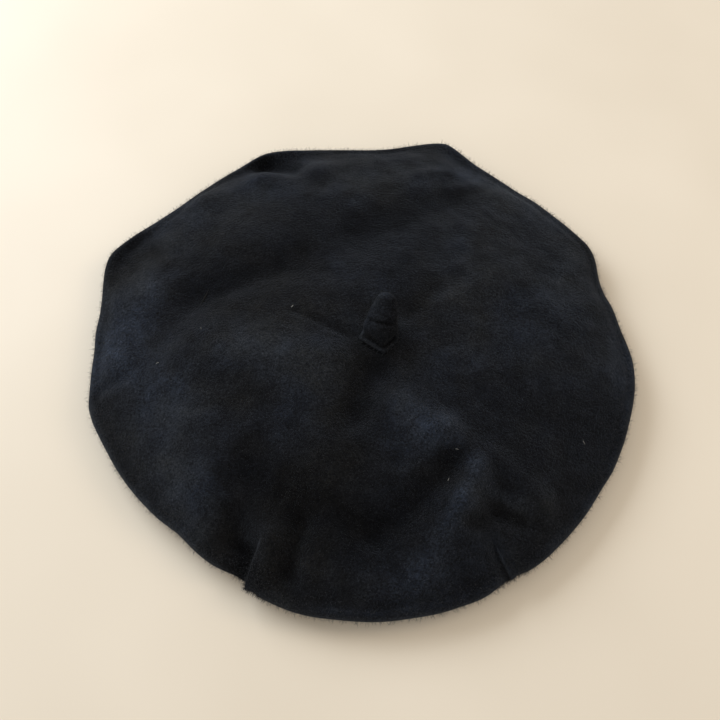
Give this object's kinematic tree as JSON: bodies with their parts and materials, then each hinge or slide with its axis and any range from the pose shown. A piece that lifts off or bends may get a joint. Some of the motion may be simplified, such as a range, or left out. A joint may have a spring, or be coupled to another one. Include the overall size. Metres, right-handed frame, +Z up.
{
  "type": "beret",
  "caption": "Soft wool felt beret lying flat, with a bendable stem on the crown, a drawn-in edge and a ribbon sweatband round the head opening.",
  "frame": {"origin": "centre of the head opening, on the plane that the hat rests on", "axes": "+Z up through the crown, +Y towards the back of the hat where the label hangs, +X towards its right side"},
  "size_m": [0.2806, 0.2789, 0.0528],
  "materials": {
    "felt": "matte",
    "ribbon": "satin",
    "elastic": "matte",
    "thread": "satin",
    "label": "satin"
  },
  "bodies": {
    "beret": {"felt_shell": "felt", "stem_foot": "felt", "stem_stitches": "thread", "sweatband": "ribbon", "band_elastic": "elastic", "band_seam": "thread", "band_join_stitches": "thread", "label_stitches": "thread"},
    "stem": {"stem": "felt"},
    "label": {"size_label": "label"}
  },
  "joints": [
    {"name": "stem_bend", "type": "hinge", "parent": "beret", "child": "stem", "pos_m": [0.009, -0.0046, 0.036], "axis": [-0.9703, 0.2419, 0], "range_deg": [-95, 25], "stiffness_Nm_per_rad": 0.005},
    {"name": "label_swing", "type": "hinge", "parent": "beret", "child": "label", "pos_m": [0, 0.08505, 0.0176], "axis": [-1, 0, 0], "range_deg": [0, 100]}
  ]
}
